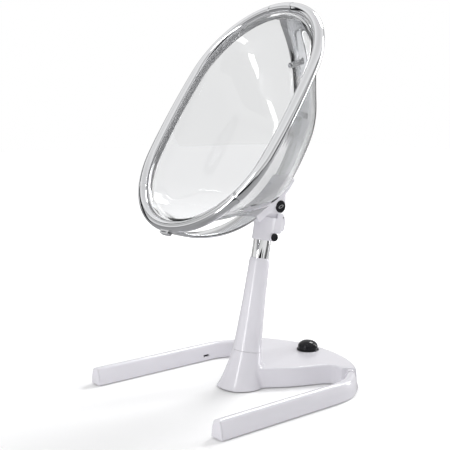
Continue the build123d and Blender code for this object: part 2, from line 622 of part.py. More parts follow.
cheek = extrude(web, amount=CHEEK_OUT - CHEEK_IN)
saddle += Pos(CHEEK_IN, 0, 0) * cheek + Pos(-CHEEK_OUT, 0, 0) * cheek
with BuildSketch(Plane.YZ) as sk:
    with BuildLine():
        Polyline((PV - 13.0, PZ - 4), (-150, -255), (-100, -268), (PV + 15, PZ - 8), (PV - 13.0, PZ - 4))
    make_face()
    with Locations((PV, PZ)):
        Circle(LUG_R)
saddle += extrude(sk.sketch, amount=LUG_IN - 0.4, both=True)
saddle -= band_strip(0.50, 0.74, -H - 0.02, H + 0.02, BAND_W / 2 + 0.02)
for sx in (-1, 1):
    saddle -= cross(LUG_R + 0.7, sx * (LUG_IN - 0.4), sx * CHEEK_IN, PV, PZ)
    saddle -= cross(15.12, sx * 33.9, sx * 60, PV, PZ)
    saddle -= cross(17.5, sx * 37.01, sx * 60, PV, PZ)
saddle -= cross(6.0, -33.95, 33.95, PV, PZ)
saddle -= outer
NODES["saddle"] = saddle
NODES["front_band"], NODES["back_band"] = front_band, back_band


def along(t, lo, hi, r, x=0.0):
    """Round bar square to the band's centre line."""
    p, d = line @ t, line % t
    out = Vector(0, -d.Z, d.Y)
    mid = p + out * ((lo + hi) / 2) + Vector(x, 0, 0)
    return Plane(origin=mid, z_dir=out) * Cylinder(r, hi - lo)


pads, shell_screws, band_screws = [], [], []
for t, x in ((0.17, 0.0), (0.33, 22.0), (0.33, -22.0)):
    p, d = line @ t, line % t
    out = Vector(0, -d.Z, d.Y)
    probe = Edge.make_line(p + Vector(x, 0, 0) - out * 60, p + Vector(x, 0, 0) + out * 5)
    cut = probe.intersect(outer)
    gap = 5.0 + probe.length - 5.0 - 60.0
    seg = cut.edges()[0] if hasattr(cut, "edges") else cut[0]
    skin_at = 60.0 - seg.length
    pads.append(along(t, -skin_at - 6, -H + 1.0, 8.0, x) - outer - back_band)
    hole = along(t, -skin_at - 30, H - 0.6, 2.55, x)
    screw = along(t, -skin_at - SKIN - 1.4, H - 0.7, 2.5, x)
    head = along(t, -skin_at - SKIN - 2.4, -skin_at - SKIN - 0.2, 5.5, x)
    shell_screws.append(screw + head)
    shell = shell - hole - head
    pads[-1] = pads[-1] - hole
    NODES["back_band"] = NODES["back_band"] - hole
for t in (0.565, 0.672):
    for x in (-24.0, 24.0):
        if t > 0.6:
            x *= 0.6
        hole = along(t, -H - 0.1, H + 7.0, 2.05, x)
        band_screws.append(along(t, -H - 2.2, -H - 0.15, 4.2, x) + along(t, -H - 0.1, H + 6.9, 2.0, x))
        room_hole = along(t, -H - 6, -H, 4.3, x)
        NODES["saddle"] = NODES["saddle"] - hole - room_hole
        for n in ("back_band", "front_band"):
            NODES[n] = NODES[n] - hole
NODES["shell"] = shell
NODES["shell_pads"] = Compound(children=[q.solids()[0] for q in pads])
NODES["shell_screws"] = Compound(children=[q.solids()[0] for q in shell_screws])
NODES["band_screws"] = Compound(children=[q.solids()[0] for q in band_screws])

gasket = extrude(oval(337.2, 226.2), amount=14, both=False) - extrude(Pos(0, 0, -1) * oval(334.04, 223.54), amount=16)
gasket = Pos(0, 0, -12) * gasket
full = [hoop_full, hoop_full.mirror(Plane.YZ), whole, whole_low]
for f in full:
    gasket = gasket - f
ring_only = sorted(gasket.solids(), key=lambda q: -q.volume)[0]
NODES["rim_gasket"] = ring_only
NODES["hoop_right"] = upper
NODES["hoop_left"] = upper.mirror(Plane.YZ)
NODES["hoop_lower"] = lower
NODES["hoop_sleeve"] = sleeve
NODES["hoop_spigots"] = Compound(children=[q.solids()[0] for q in spigots])

clip = brick(-17, 17, -HOOP_A - HOOP_R - 8.5, -HOOP_A - 8, -7, 7)
clip = soft(clip, clip.edges().filter_by(Axis.Z), 3, 2)
clip -= brick(-11, 11, -HOOP_A - HOOP_R - 6.0, -HOOP_A - HOOP_R - 2.0, -20, 20)
clip -= whole_low
clip -= front_band
NODES["front_clip"] = sorted(clip.solids(), key=lambda q: -q.volume)[0]
SEAT_NODES = ("saddle", "front_band", "back_band", "shell", "shell_pads", "shell_screws", "band_screws",
              "rim_gasket", "hoop_right", "hoop_left", "hoop_lower", "hoop_sleeve", "hoop_spigots", "front_clip")
for n in SEAT_NODES:
    NODES[n] = SEAT * NODES[n]

os.makedirs("parts", exist_ok=True)
for name, shape in NODES.items():
    export_step(shape, "parts/" + name + ".step")
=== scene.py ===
"""Looks of a child's high chair: clear bucket seat in a polished hoop on a gas-lift pedestal.

Runs in Blender 4.5 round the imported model. Metres, +Z up, +Y to the back, origin on the floor.
"""
from math import asin, cos, degrees, pi, radians, sin

import bpy
from mathutils import Matrix, Vector


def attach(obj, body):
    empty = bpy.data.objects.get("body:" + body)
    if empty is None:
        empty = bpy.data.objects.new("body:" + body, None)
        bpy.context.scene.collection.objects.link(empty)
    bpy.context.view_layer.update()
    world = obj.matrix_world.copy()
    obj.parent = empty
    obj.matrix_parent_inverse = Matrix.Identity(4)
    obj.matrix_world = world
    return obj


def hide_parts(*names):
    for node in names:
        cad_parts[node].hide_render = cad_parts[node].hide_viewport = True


bl_info = {
    "name": "High chair looks",
    "version": (1, 0, 0),
    "blender": (4, 5, 0),
    "location": "3D View > Sidebar > High chair",
    "description": "Models the visible pieces of a pedestal high chair round its packed frame",
    "category": "Object",
}

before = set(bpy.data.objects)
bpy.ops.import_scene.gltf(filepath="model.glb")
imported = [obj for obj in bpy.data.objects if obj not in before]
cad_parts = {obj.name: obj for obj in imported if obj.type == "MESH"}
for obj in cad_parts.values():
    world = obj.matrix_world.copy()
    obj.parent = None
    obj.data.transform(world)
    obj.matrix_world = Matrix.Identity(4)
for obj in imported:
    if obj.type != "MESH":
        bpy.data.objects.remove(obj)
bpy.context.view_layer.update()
MM = 0.001


# ---------------------------------------------------------------- driving sizes, in metres
class HighChairSizes(bpy.types.PropertyGroup):
    """Sizes that drive the modelled pieces."""

    hoop_long: bpy.props.FloatProperty(
        name="Hoop half length", description="Centre line of the hoop, from its middle to its top end",
        default=0.351, unit="LENGTH")
    hoop_half: bpy.props.FloatProperty(
        name="Hoop half width", description="Centre line of the hoop at its widest", default=0.240,
        unit="LENGTH")
    hoop_end: bpy.props.FloatProperty(
        name="Hoop end radius", description="Radius of the round ends of the hoop", default=0.2355,
        unit="LENGTH")
    hoop_tube: bpy.props.FloatProperty(
        name="Hoop tube radius", description="Radius of the polished tube", default=0.0145, unit="LENGTH")
    band_width: bpy.props.FloatProperty(
        name="Band width", description="Width of the band behind the bowl", default=0.070, unit="LENGTH")
    band_thick: bpy.props.FloatProperty(
        name="Band thickness", description="Thickness of the band", default=0.010, unit="LENGTH")
    shell_wall: bpy.props.FloatProperty(
        name="Shell wall", description="Thickness of the clear bowl", default=0.0036, unit="LENGTH")
    leg_width: bpy.props.FloatProperty(
        name="Leg width", description="Width of a floor leg at its underside", default=0.039, unit="LENGTH")
    leg_height: bpy.props.FloatProperty(
        name="Leg height", description="Height of a floor leg without its pads", default=0.047,
        unit="LENGTH")
    floor_reach: bpy.props.FloatProperty(
        name="Floor reach", description="Half size of the studio floor", default=14.0, unit="LENGTH")


class HighChairColours(bpy.types.PropertyGroup):
    """Colours of the finishes."""

    white: bpy.props.FloatVectorProperty(
        name="White plastic", description="Base, column cover, legs and hub", default=(0.72, 0.708, 0.752),
        subtype="COLOR", size=3, min=0, max=1)
    metal: bpy.props.FloatVectorProperty(
        name="Polished aluminium", description="Hoop and bands", default=(0.83, 0.835, 0.85),
        subtype="COLOR", size=3, min=0, max=1)
    chrome: bpy.props.FloatVectorProperty(
        name="Chrome", description="Lift tube", default=(0.88, 0.885, 0.89), subtype="COLOR", size=3,
        min=0, max=1)
    shell: bpy.props.FloatVectorProperty(
        name="Clear shell", description="Tint of the clear bowl", default=(0.79, 0.795, 0.80),
        subtype="COLOR", size=3, min=0, max=1)
    black: bpy.props.FloatVectorProperty(
        name="Black plastic", description="Pedal, pivot caps and button", default=(0.012, 0.012, 0.014),
        subtype="COLOR", size=3, min=0, max=1)


# seat frame: origin of the hoop and its lean, and the lean of the column
HOOP_MIDDLE = Vector((0.0, -0.0526, 0.7621))
SEAT_TILT = radians(34.6)
COLUMN_LEAN = radians(10.4)
SEAT = Matrix.Translation(HOOP_MIDDLE) @ Matrix((
    (1, 0, 0, 0),
    (0, sin(SEAT_TILT), -cos(SEAT_TILT), 0),
    (0, cos(SEAT_TILT), sin(SEAT_TILT), 0),
    (0, 0, 0, 1)))
COLUMN = Matrix((
    (1, 0, 0, 0),
    (0, cos(COLUMN_LEAN), sin(COLUMN_LEAN), 0),
    (0, -sin(COLUMN_LEAN), cos(COLUMN_LEAN), 0),
    (0, 0, 0, 1)))
FLAT = Matrix.Identity(4)
SPIN_SIGN = -1.0


# ---------------------------------------------------------------- bench work
def clear_bench():
    """Leave edit mode and deselect everything."""
    if bpy.context.object and bpy.context.object.mode != "OBJECT":
        bpy.ops.object.mode_set(mode="OBJECT")
    bpy.ops.object.select_all(action="DESELECT")


def take(piece):
    """Select one piece alone."""
    clear_bench()
    piece.select_set(True)
    bpy.context.view_layer.objects.active = piece


def settle(piece, place=FLAT):
    """Put a piece in its place and leave its object at the origin."""
    take(piece)
    piece.matrix_world = place @ piece.matrix_world
    bpy.ops.object.transform_apply(location=True, rotation=True, scale=True)


def open_up(piece, select=True):
    """Edit a piece with all of it selected, or nothing."""
    take(piece)
    bpy.ops.object.mode_set(mode="EDIT")
    bpy.ops.mesh.select_mode(type="VERT")
    bpy.ops.mesh.select_all(action="SELECT" if select else "DESELECT")


def choose(piece, test):
    """Select the corners whose place passes a test, and stay in edit mode."""
    open_up(piece, select=False)
    bpy.ops.object.mode_set(mode="OBJECT")
    for corner in piece.data.vertices:
        corner.select = bool(test(corner.co))
    bpy.ops.object.mode_set(mode="EDIT")
    bpy.ops.mesh.select_mode(type="VERT")


def choose_faces(piece, test):
    """Select the faces whose middle and normal pass a test, and stay in edit mode."""
    open_up(piece, select=False)
    bpy.ops.mesh.select_mode(type="FACE")
    bpy.ops.object.mode_set(mode="OBJECT")
    for corner in piece.data.vertices:
        corner.select = False
    for edge in piece.data.edges:
        edge.select = False
    for face in piece.data.polygons:
        face.select = bool(test(face.center, face.normal))
    bpy.ops.object.mode_set(mode="EDIT")
    bpy.ops.mesh.select_mode(type="FACE")


def ring_start(name, radius, corners, place=(0, 0, 0), turn=(0, 0, 0)):
    """A new piece that is one open ring of corners."""
    clear_bench()
    bpy.ops.mesh.primitive_circle_add(vertices=corners, radius=radius, fill_type="NOTHING",
                                      location=place, rotation=turn)
    piece = bpy.context.object
    piece.name = piece.data.name = name
    settle(piece)
    return piece


def corner_start(name, place):
    """A new piece that is a single corner: a small square merged to its middle."""
    clear_bench()
    bpy.ops.mesh.primitive_plane_add(size=0.01, location=place)
    piece = bpy.context.object
    piece.name = piece.data.name = name
    settle(piece)
    open_up(piece)
    bpy.ops.mesh.merge(type="CENTER")
    return piece


def sweep_round(angle, centre, axis, steps):
    """Carry the selected end round an arc."""
    bpy.ops.mesh.spin(steps=steps, dupli=False, angle=SPIN_SIGN * angle, center=centre, axis=axis)


def step_on(shift, size=(1, 1, 1), about=(0, 0, 0)):
    """Extrude the selected end, scale it about a point and shift it."""
    bpy.ops.mesh.extrude_region_move()
    bpy.ops.transform.resize(value=size, center_override=about)
    bpy.ops.transform.translate(value=shift)


def close_skin(piece, near=0.00002):
    """Merge doubles, close the ends and face the skin outward."""
    open_up(piece)
    bpy.ops.mesh.remove_doubles(threshold=near)
    bpy.ops.mesh.select_all(action="SELECT")
    bpy.ops.mesh.fill_holes(sides=0)
    bpy.ops.mesh.select_all(action="SELECT")
    bpy.ops.mesh.normals_make_consistent(inside=False)
    bpy.ops.object.mode_set(mode="OBJECT")


def round_edges(piece, width, segments=3, limit=40):
    """Bevel the sharp edges of a piece for good."""
    take(piece)
    bevel = piece.modifiers.new("Round edges", "BEVEL")
    bevel.width = width
    bevel.segments = segments
    bevel.limit_method = "ANGLE"
    bevel.angle_limit = radians(limit)
    bpy.ops.object.modifier_apply(modifier=bevel.name)


def hand_over(piece, body, finish, nodes, limit=35):
    """Smooth a finished piece, give it its finish and hang it on its body in place of CAD nodes."""
    take(piece)
    bpy.ops.object.shade_smooth_by_angle(angle=radians(limit))
    piece.data.materials.clear()
    piece.data.materials.append(finish)
    if len(piece.data.polygons) == 0:
        raise RuntimeError(piece.name + " has no faces")
    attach(piece, body)
    if nodes:
        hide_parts(*nodes)


def turned(name, outline, corners=64, closed=False, place=FLAT, bevel=0.0):
    """A piece turned about its upright axis from (radius, height) places in millimetres."""
    radius, height = outline[0]
    piece = ring_start(name, radius * MM, corners, (0, 0, height * MM))
    open_up(piece)
    for next_radius, next_height in outline[1:]:
        scale = next_radius / radius
        middle = (0, 0, height * MM)
        step_on((0, 0, (next_height - height) * MM), (scale, scale, 1), middle)
        radius, height = next_radius, next_height
    if closed:
        bpy.ops.mesh.select_all(action="SELECT")
        bpy.ops.mesh.remove_doubles(threshold=0.00002)
        bpy.ops.mesh.normals_make_consistent(inside=False)
    bpy.ops.object.mode_set(mode="OBJECT")
    close_skin(piece)
    if bevel:
        round_edges(piece, bevel * MM)
    settle(piece, place)
    return piece


def twin(piece, name):
    """Copy of a finished piece with its own mesh, mirrored left to right."""
    clear_bench()
    copy = piece.copy()
    copy.data = piece.data.copy()
    copy.name = copy.data.name = name
    bpy.context.scene.collection.objects.link(copy)
    copy.matrix_world = Matrix.Scale(-1, 4, Vector((1, 0, 0))) @ copy.matrix_world
    settle(copy)
    open_up(copy)
    bpy.ops.mesh.normals_make_consistent(inside=False)
    bpy.ops.object.mode_set(mode="OBJECT")
    return copy


# ---------------------------------------------------------------- finishes
def grain_group():
    """Fine mottling: a value near one that varies over a surface, and a soft height."""
    name = "Fine mottling"
    if name in bpy.data.node_groups:
        return bpy.data.node_groups[name]
    group = bpy.data.node_groups.new(name, "ShaderNodeTree")
    group.interface.new_socket("Scale", in_out="INPUT", socket_type="NodeSocketFloat").default_value = 60
    group.interface.new_socket("Low", in_out="INPUT", socket_type="NodeSocketFloat").default_value = 0.1
    group.interface.new_socket("High", in_out="INPUT", socket_type="NodeSocketFloat").default_value = 0.2
    group.interface.new_socket("Value", in_out="OUTPUT", socket_type="NodeSocketFloat")
    group.interface.new_socket("Height", in_out="OUTPUT", socket_type="NodeSocketFloat")
    nodes, links = group.nodes, group.links
    inside = nodes.new("NodeGroupInput")
    out = nodes.new("NodeGroupOutput")
    place = nodes.new("ShaderNodeTexCoord")
    noise = nodes.new("ShaderNodeTexNoise")
    noise.inputs["Detail"].default_value = 4
    spread = nodes.new("ShaderNodeMapRange")
    spread.inputs["From Min"].default_value = 0.3
    spread.inputs["From Max"].default_value = 0.7
    links.new(place.outputs["Object"], noise.inputs["Vector"])
    links.new(inside.outputs["Scale"], noise.inputs["Scale"])
    links.new(noise.outputs["Fac"], spread.inputs["Value"])
    links.new(inside.outputs["Low"], spread.inputs["To Min"])
    links.new(inside.outputs["High"], spread.inputs["To Max"])
    links.new(spread.outputs["Result"], out.inputs["Value"])
    links.new(noise.outputs["Fac"], out.inputs["Height"])
    return group


def scratch_group():
    """Hair scratches: a mask of thin streaks that wander over a polished surface."""
    name = "Hair scratches"
    if name in bpy.data.node_groups:
        return bpy.data.node_groups[name]
    group = bpy.data.node_groups.new(name, "ShaderNodeTree")
    group.interface.new_socket("Scale", in_out="INPUT", socket_type="NodeSocketFloat").default_value = 40
    group.interface.new_socket("Low", in_out="INPUT", socket_type="NodeSocketFloat").default_value = 0.05
    group.interface.new_socket("High", in_out="INPUT", socket_type="NodeSocketFloat").default_value = 0.12
    group.interface.new_socket("Value", in_out="OUTPUT", socket_type="NodeSocketFloat")
    nodes, links = group.nodes, group.links
    inside = nodes.new("NodeGroupInput")
    out = nodes.new("NodeGroupOutput")
    place = nodes.new("ShaderNodeTexCoord")
    stretch = nodes.new("ShaderNodeMapping")
    stretch.inputs["Scale"].default_value = (1.0, 1.0, 14.0)
    noise = nodes.new("ShaderNodeTexNoise")
    noise.inputs["Detail"].default_value = 6
    spread = nodes.new("ShaderNodeMapRange")
    spread.inputs["From Min"].default_value = 0.45
    spread.inputs["From Max"].default_value = 0.75
    links.new(place.outputs["Object"], stretch.inputs["Vector"])
    links.new(stretch.outputs["Vector"], noise.inputs["Vector"])
    links.new(inside.outputs["Scale"], noise.inputs["Scale"])
    links.new(noise.outputs["Fac"], spread.inputs["Value"])
    links.new(inside.outputs["Low"], spread.inputs["To Min"])
    links.new(inside.outputs["High"], spread.inputs["To Max"])
    links.new(spread.outputs["Result"], out.inputs["Value"])
    return group


def mirror_mask(tree):
    """Socket that is one where a reflected ray meets the surface, and zero elsewhere."""
    path, only = tree.nodes.new("ShaderNodeLightPath"), tree.nodes.new("ShaderNodeMath")
    only.operation = "SUBTRACT"
    only.use_clamp = True
    tree.links.new(path.outputs["Is Glossy Ray"], only.inputs[0])
    tree.links.new(path.outputs["Is Transmission Ray"], only.inputs[1])
    return only.outputs[0]


def new_finish(name):
    """A material with its principled shader ready."""
    finish = bpy.data.materials.new(name)
    finish.use_nodes = True
    return finish, finish.node_tree.nodes["Principled BSDF"]


def worn(finish, shader, group, scale, low, high, bump=0.0, depth=0.0002):
    """Let roughness vary by a shared effect, with an optional fine bump."""
    tree = finish.node_tree
    effect = tree.nodes.new("ShaderNodeGroup")
    effect.node_tree = group
    effect.inputs["Scale"].default_value = scale
    effect.inputs["Low"].default_value = low
    effect.inputs["High"].default_value = high
    tree.links.new(effect.outputs["Value"], shader.inputs["Roughness"])
    if bump:
        relief = tree.nodes.new("ShaderNodeBump")
        relief.inputs["Strength"].default_value = bump
        relief.inputs["Distance"].default_value = depth
        tree.links.new(effect.outputs["Height"], relief.inputs["Height"])
        tree.links.new(relief.outputs["Normal"], shader.inputs["Normal"])


def plastic(name, colour, low, high, coat=0.0, bump=0.0, shine=0.5):
    finish, shader = new_finish(name)
    shader.inputs["Specular IOR Level"].default_value = shine
    shader.inputs["Base Color"].default_value = (*colour, 1)
    shader.inputs["IOR"].default_value = 1.5
    shader.inputs["Coat Weight"].default_value = coat
    shader.inputs["Coat Roughness"].default_value = 0.03
    worn(finish, shader, grain_group(), 35, low, high, bump)
    return finish


def metal(name, colour, low, high, scale=25):
    finish, shader = new_finish(name)
    shader.inputs["Base Color"].default_value = (*colour, 1)
    shader.inputs["Metallic"].default_value = 1.0
    worn(finish, shader, scratch_group(), scale, low, high)
    return finish


def clear_shell(name, colour):
    finish, shader = new_finish(name)
    shader.inputs["Base Color"].default_value = (*colour, 1)
    shader.inputs["Transmission Weight"].default_value = 1.0
    shader.inputs["Specular IOR Level"].default_value = 0.3
    shader.inputs["IOR"].default_value = 1.45
    worn(finish, shader, grain_group(), 4, 0.0, 0.004)
    return finish


def make_finishes():
    """Every finish of the chair, under its slot name in the record."""
    colours = bpy.context.scene.high_chair_colours
    return {
        "white_plastic": plastic("White gloss plastic", colours.white, 0.16, 0.22, coat=0.25),
        "polished_aluminium": metal("Polished aluminium", colours.metal, 0.06, 0.12),
        "chrome": metal("Bright chrome", colours.chrome, 0.02, 0.04),
        "clear_plastic": clear_shell("Clear shell", colours.shell),
        "black_gloss": plastic("Black gloss plastic", colours.black, 0.10, 0.16, shine=0.2),
        "grey_nylon": plastic("Grey nylon", (0.25, 0.25, 0.26), 0.45, 0.6, bump=0.2),
        "steel": metal("Zinc plated steel", (0.55, 0.56, 0.58), 0.22, 0.38, 60),
        "cast_iron": plastic("Painted casting", (0.05, 0.05, 0.055), 0.5, 0.7, bump=0.5),
        "rubber": plastic("Black rubber", (0.03, 0.03, 0.03), 0.6, 0.8, bump=0.2),
        "grey_rubber": plastic("Grey seal rubber", (0.42, 0.42, 0.43), 0.4, 0.55),
    }


FINISHES = {}


# ---------------------------------------------------------------- seat hoop
SEAM_HALF = radians(10.5)        # half angle of the sleeve at the top
LOWER_SEAM = radians(33.5)       # where the lower tube starts below the side


def hoop_sides():
    """Radius and half angle of the long flat arcs at the sides of the hoop."""
    sizes = bpy.context.scene.high_chair_sizes
    end, half, reach = sizes.hoop_end, sizes.hoop_half, sizes.hoop_long - sizes.hoop_end
    radius = (end ** 2 - half ** 2 - reach ** 2) / (2 * (end - half))
    return radius, asin(reach / (radius - end))


def hoop_ring(name, radius, angle, end):
    """Open ring across the hoop's tube on its upper (+1) or lower (-1) end arc."""
    sizes = bpy.context.scene.high_chair_sizes
    centre = end * (sizes.hoop_long - sizes.hoop_end)
    place = (sizes.hoop_end * cos(angle), centre + sizes.hoop_end * sin(angle), 0)
    piece = ring_start(name, radius, 40, place, (pi / 2, 0, angle))
    open_up(piece)
    return piece


def along_end(end, start, stop):
    """Carry the ring round an end arc of the hoop."""
    sizes = bpy.context.scene.high_chair_sizes
    centre = (0, end * (sizes.hoop_long - sizes.hoop_end), 0)
    steps = max(4, round(abs(degrees(stop - start)) / 2.5))
    sweep_round(stop - start, centre, (0, 0, 1), steps)


class HIGHCHAIR_OT_hoop(bpy.types.Operator):
    """Polished oval hoop: two bent side tubes, a lower tube and a sleeve at the top"""

    bl_idname = "high_chair.hoop"
    bl_label = "Seat hoop"

    def execute(self, context):
        sizes = context.scene.high_chair_sizes
        tube = sizes.hoop_tube
        side_radius, side_angle = hoop_sides()
        side_centre = (-(side_radius - sizes.hoop_half), 0, 0)
        right = hoop_ring("hoop_side_right", tube, pi / 2 - SEAM_HALF, 1)
        along_end(1, pi / 2 - SEAM_HALF, side_angle)
        sweep_round(-2 * side_angle, side_centre, (0, 0, 1), 12)
        along_end(-1, -side_angle, -LOWER_SEAM)
        close_skin(right)
        round_edges(right, 0.0006, 2)
        settle(right, SEAT)
        left = twin(right, "hoop_side_left")
        gap = radians(0.12)
        lower = hoop_ring("hoop_lower_tube", tube, -LOWER_SEAM - gap, -1)
        along_end(-1, -LOWER_SEAM - gap, -pi + LOWER_SEAM + gap)
        close_skin(lower)
        round_edges(lower, 0.0006, 2)
        settle(lower, SEAT)
        sleeve = hoop_ring("hoop_top_sleeve", tube + 0.0004, pi / 2 - SEAM_HALF + gap, 1)
        along_end(1, pi / 2 - SEAM_HALF + gap, pi / 2 + SEAM_HALF - gap)
        close_skin(sleeve)
        round_edges(sleeve, 0.0006, 2)
        settle(sleeve, SEAT)
        for piece, node in ((right, "hoop_right"), (left, "hoop_left"), (lower, "hoop_lower"),
                            (sleeve, "hoop_sleeve")):
            hand_over(piece, "seat", FINISHES["polished_aluminium"], [node])
        return {"FINISHED"}


# ---------------------------------------------------------------- band behind the bowl
BAND_START = (0.35000, -0.0030)
BAND_HEADING = radians(-104.2)
BAND_ARCS = ((0.3320, radians(23.8)), (0.3840, radians(20.9)), (0.3715, radians(94.9)),
             (0.1310, radians(25.9)))
BAND_SPLIT = 0.59


def band_run(start, stop):
    """Arcs of the band between two shares of its length: start place, heading, then (radius, turn)."""
    total = sum(radius * turn for radius, turn in BAND_ARCS)
    y, z = BAND_START
    heading, gone, runs, first = BAND_HEADING, 0.0, [], None
    for radius, turn in BAND_ARCS:
        length = radius * turn
        low = max(start * total, gone)
        high = min(stop * total, gone + length)
        centre = (y + radius * sin(heading), z - radius * cos(heading))
        if high > low:
            if first is None:
                at = heading - (low - gone) / radius
                first = (centre[0] - radius * sin(at), centre[1] + radius * cos(at), at)
            runs.append((centre, (high - low) / radius))
        heading -= turn
        y, z = centre[0] - radius * sin(heading), centre[1] + radius * cos(heading)
        gone += length
    return first, runs


class HIGHCHAIR_OT_bands(bpy.types.Operator):
    """Polished bands that run round the back and the front of the bowl"""

    bl_idname = "high_chair.bands"
    bl_label = "Seat bands"

    def execute(self, context):
        sizes = context.scene.high_chair_sizes
        radius = sizes.band_thick / 2
        for name, start, stop, node in (("band_behind_back", 0.012, BAND_SPLIT - 0.0006, "back_band"),
                                        ("band_under_front", BAND_SPLIT + 0.0006, 0.985, "front_band")):
            (y, z, heading), runs = band_run(start, stop)
            band = ring_start(name, radius, 20, (0, y, z), (heading - pi / 2, 0, 0))
            reach = sizes.band_width / 2 - radius
            for side in (1, -1):
                choose(band, lambda c, s=side: c.x * s > 1e-6)
                bpy.ops.transform.translate(value=(side * reach, 0, 0))
            choose(band, lambda c: True)
            for centre, turn in runs:
                sweep_round(-turn, (0, centre[0], centre[1]), (1, 0, 0), max(3, round(degrees(turn) / 2)))
            close_skin(band)
            round_edges(band, 0.0008, 2)
            settle(band, SEAT)
            hand_over(band, "seat", FINISHES["polished_aluminium"], [node])
        return {"FINISHED"}


# ---------------------------------------------------------------- clear bowl
# depth, reach to the head, reach to the feet, half width, in millimetres
BOWL = ((0, 334, 334, 223.5), (45, 304, 314, 208), (85, 270, 287, 188), (125, 234, 255, 168),
        (165, 200, 221, 147), (200, 168, 192, 121), (230, 134, 160, 91), (249, 92, 118, 62),
        (256, 50, 70, 36))
# sections of the turned-in flange and of the seal round it: half length, half width, shift, height
FLANGE = ((326.4, 216.0, 0, 0.0), (325.5, 215.0, 0, -1.0), (325.5, 215.0, 0, -11.6),
          (326.4, 216.0, 0.3, -12.8))
FLANGE_FOOT = -16
SEAL = ((334.1, 223.6, 0, 1.4), (334.9, 224.4, 0, 1.9), (336.2, 225.3, 0, 1.4), (336.2, 225.3, 0, -10.5),
        (334.9, 224.4, 0, -11.9), (334.1, 223.6, 0, -11.0))


def bowl_rings(inset, per_gap=3):
    """Sizes of the bowl's rings, eased between its stations: half length, half width, shift, height."""
    rings = []
    for i in range(len(BOWL) - 1):
        before, here, after = BOWL[max(i - 1, 0)], BOWL[i], BOWL[i + 1]
        beyond = BOWL[min(i + 2, len(BOWL) - 1)]
        last = i == len(BOWL) - 2
        for k in range(per_gap + (1 if last else 0)):
            t = k / per_gap
            row = []
            for a, b, c, d in zip(before, here, after, beyond):
                row.append(0.5 * (2 * b + (c - a) * t + (2 * a - 5 * b + 4 * c - d) * t * t
                                  + (3 * b - a - 3 * c + d) * t ** 3))
            depth, head, feet, half = row
            rings.append(((head + feet) / 2 - inset, half - inset, (head - feet) / 2,
                          -depth + inset * 0.85 if depth else 0.0))
    return rings


def follow_rings(rings, start):
    """Extrude the selected loop through rings of (half length, half width, shift, height)."""
    long, half, shift, height = start
    for next_long, next_half, next_shift, next_height in rings:
        step_on((0, (next_shift - shift) * MM, (next_height - height) * MM),
                (next_half / half, next_long / long, 1), (0, shift * MM, height * MM))
        long, half, shift, height = next_long, next_half, next_shift, next_height


def oval_loop(name, long, half, height, share=0.97):
    """A closed loop of corners on a four-arc oval, in millimetres."""
    end = half * share
    radius = (end ** 2 - half ** 2 - (long - end) ** 2) / (2 * (end - half))
    lean = asin((long - end) / (radius - end))
    piece = corner_start(name, (end * cos(lean) * MM, (long - end + end * sin(lean)) * MM, height * MM))
    up, down = (0, (long - end) * MM, height * MM), (0, -(long - end) * MM, height * MM)
    axis = (0, 0, 1)
    sweep_round(pi - 2 * lean, up, axis, 48)
    sweep_round(2 * lean, ((radius - half) * MM, 0, height * MM), axis, 20)
    sweep_round(pi - 2 * lean, down, axis, 48)
    sweep_round(2 * lean, (-(radius - half) * MM, 0, height * MM), axis, 20)
    bpy.ops.mesh.select_all(action="SELECT")
    bpy.ops.mesh.remove_doubles(threshold=0.00005)
    return piece


class HIGHCHAIR_OT_shell(bpy.types.Operator):
    """Clear moulded bowl with its turned-in rim"""

    bl_idname = "high_chair.shell"
    bl_label = "Clear bowl"

    def execute(self, context):
        wall = context.scene.high_chair_sizes.shell_wall / MM
        outer = bowl_rings(0.0)
        shell = oval_loop("clear_bowl", outer[0][0], outer[0][1], 0.0)
        bpy.ops.mesh.select_all(action="SELECT")
        follow_rings(outer[1:] + [(30, 18, -10, -256.8), (8, 5, -10, -257.0)], outer[0])
        bpy.ops.mesh.edge_face_add()
        choose(shell, lambda c: abs(c.z) < 1e-6)
        inner = bowl_rings(wall)
        below = [ring for ring in inner if ring[3] < FLANGE_FOOT]
        last = inner[-1]
        follow_rings([*FLANGE, *below, (30, 16, last[2], last[3] - 0.6), (8, 5, last[2], last[3] - 0.8)],
                     outer[0])
        bpy.ops.mesh.edge_face_add()
        bpy.ops.object.mode_set(mode="OBJECT")
        close_skin(shell)
        settle(shell, SEAT)
        hand_over(shell, "seat", FINISHES["clear_plastic"], ["shell"], 60)
        long, half, _, height = SEAL[0]
        seal = oval_loop("rim_seal_ring", long, half, height)
        bpy.ops.mesh.select_all(action="SELECT")
        follow_rings([*SEAL[1:], SEAL[0]], SEAL[0])
        bpy.ops.object.mode_set(mode="OBJECT")
        close_skin(seal)
        settle(seal, SEAT)
        hand_over(seal, "seat", FINISHES["grey_rubber"], ["rim_gasket"], 60)
        return {"FINISHED"}


# ---------------------------------------------------------------- column
# outlines of the tapered cover and of the lift tube, as (radius, height) in millimetres
COVER = [(41.0, 100.8), (39.4, 114), (37.7, 135), (36.2, 160), (34.6, 190), (33.1, 220),
         (31.9, 250), (30.7, 285), (29.6, 320), (28.8, 348), (28.4, 361.5), (27.6, 363.6),
         (25.4, 364.0), (25.4, 350), (27.0, 340), (29.0, 250), (33.4, 160), (37.8, 100.8)]
TUBE = [(22.5, 100), (25, 100), (25, 478), (22.5, 478)]


class HIGHCHAIR_OT_column(bpy.types.Operator):
    """White tapered column cover and the chrome lift tube that slides in it"""

    bl_idname = "high_chair.column"
    bl_label = "Column and lift tube"

    def execute(self, context):
        cover = turned("column_sleeve", COVER + COVER[:1], closed=True, place=COLUMN)
        hand_over(cover, "base", FINISHES["white_plastic"], ["column_cover"], 30)
        tube = turned("chrome_lift_tube", TUBE + TUBE[:1], closed=True, place=COLUMN, bevel=0.5)
        hand_over(tube, "lift", FINISHES["chrome"], ["lift_tube"])
        return {"FINISHED"}


